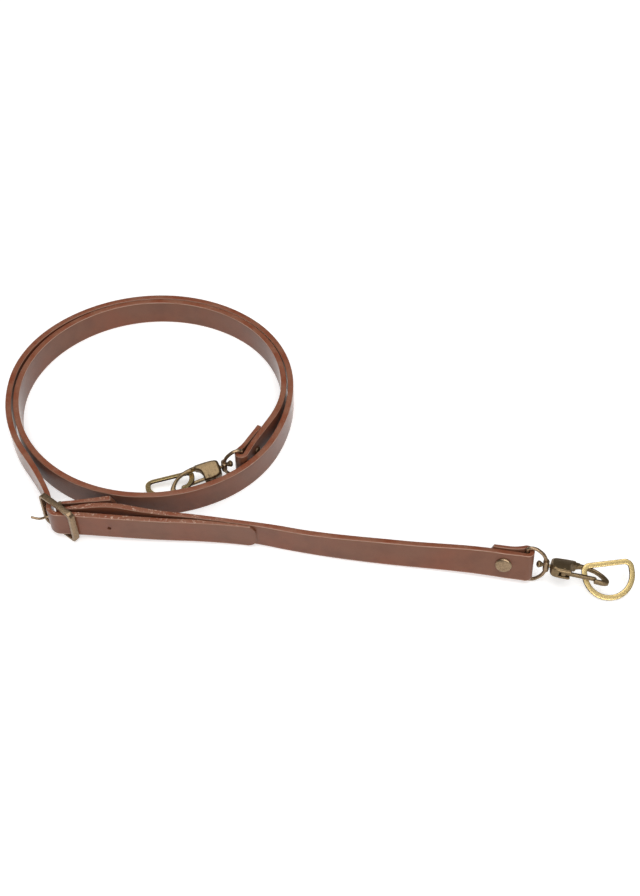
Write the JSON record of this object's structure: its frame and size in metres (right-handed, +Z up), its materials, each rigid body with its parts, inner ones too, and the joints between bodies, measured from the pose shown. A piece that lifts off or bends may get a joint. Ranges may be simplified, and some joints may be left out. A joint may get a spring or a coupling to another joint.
{
  "type": "bag strap",
  "caption": "Leather bag strap coiled on its edge, joined by a centre-bar buckle, with a swivel snap hook and D-ring at each end.",
  "frame": {"origin": "centre of the footprint, on the surface it lies on", "axes": "+X along the longest extent, from the coil towards the short strap's hook; +Y away from the viewer's side; +Z up, across the strap's width"},
  "size_m": [0.3378, 0.214, 0.0222],
  "materials": {
    "leather": "satin, painted edges",
    "antique_brass": "antiqued, darkened recesses",
    "bright_brass": "brushed"
  },
  "bodies": {
    "strap": {"strap_long": "leather", "strap_short": "leather", "rivet_long_end": "antique_brass", "rivet_short_end": "antique_brass", "rivet_buckle": "antique_brass", "buckle_frame": "antique_brass", "buckle_prong": "antique_brass"},
    "long_end_eye": {"long_end_swivel_eye": "antique_brass"},
    "long_end_hook": {"long_end_hook_body": "antique_brass", "long_end_d_ring": "bright_brass"},
    "long_end_gate": {"long_end_hook_gate": "antique_brass"},
    "short_end_eye": {"short_end_swivel_eye": "antique_brass"},
    "short_end_hook": {"short_end_hook_body": "antique_brass", "short_end_d_ring": "bright_brass"},
    "short_end_gate": {"short_end_hook_gate": "antique_brass"}
  },
  "joints": [
    {"name": "long_end_eye_pivot", "type": "hinge", "parent": "strap", "child": "long_end_eye", "pos_m": [-0.03324, -0.02319, 0.0108], "axis": [0, 0, 1], "range_deg": [-75, 0]},
    {"name": "long_end_swivel", "type": "hinge", "parent": "long_end_eye", "child": "long_end_hook", "pos_m": [-0.0428, -0.02611, 0.0108], "axis": [-0.9312, -0.3206, -0.1736], "range_deg": [-10, 180]},
    {"name": "long_end_gate_hinge", "type": "hinge", "parent": "long_end_hook", "child": "long_end_gate", "pos_m": [-0.05006, -0.0317, 0.00819], "axis": [0.0429, 0.3765, -0.9254], "range_deg": [0, 3], "stiffness_Nm_per_rad": 0.004, "springref_deg": -20.05},
    {"name": "short_end_eye_pivot", "type": "hinge", "parent": "strap", "child": "short_end_eye", "pos_m": [0.11398, -0.09068, 0.01029], "axis": [0, 0.2756, 0.9613], "range_deg": [-50, 68]},
    {"name": "short_end_swivel", "type": "hinge", "parent": "short_end_eye", "child": "short_end_hook", "pos_m": [0.12382, -0.09235, 0.01077], "axis": [0.9794, -0.1727, -0.1045], "continuous": true},
    {"name": "short_end_gate_hinge", "type": "hinge", "parent": "short_end_hook", "child": "short_end_gate", "pos_m": [0.1322, -0.09687, 0.01063], "axis": [0.1444, 0.2374, 0.9606], "range_deg": [0, 6.5], "stiffness_Nm_per_rad": 0.004, "springref_deg": -20.05}
  ]
}
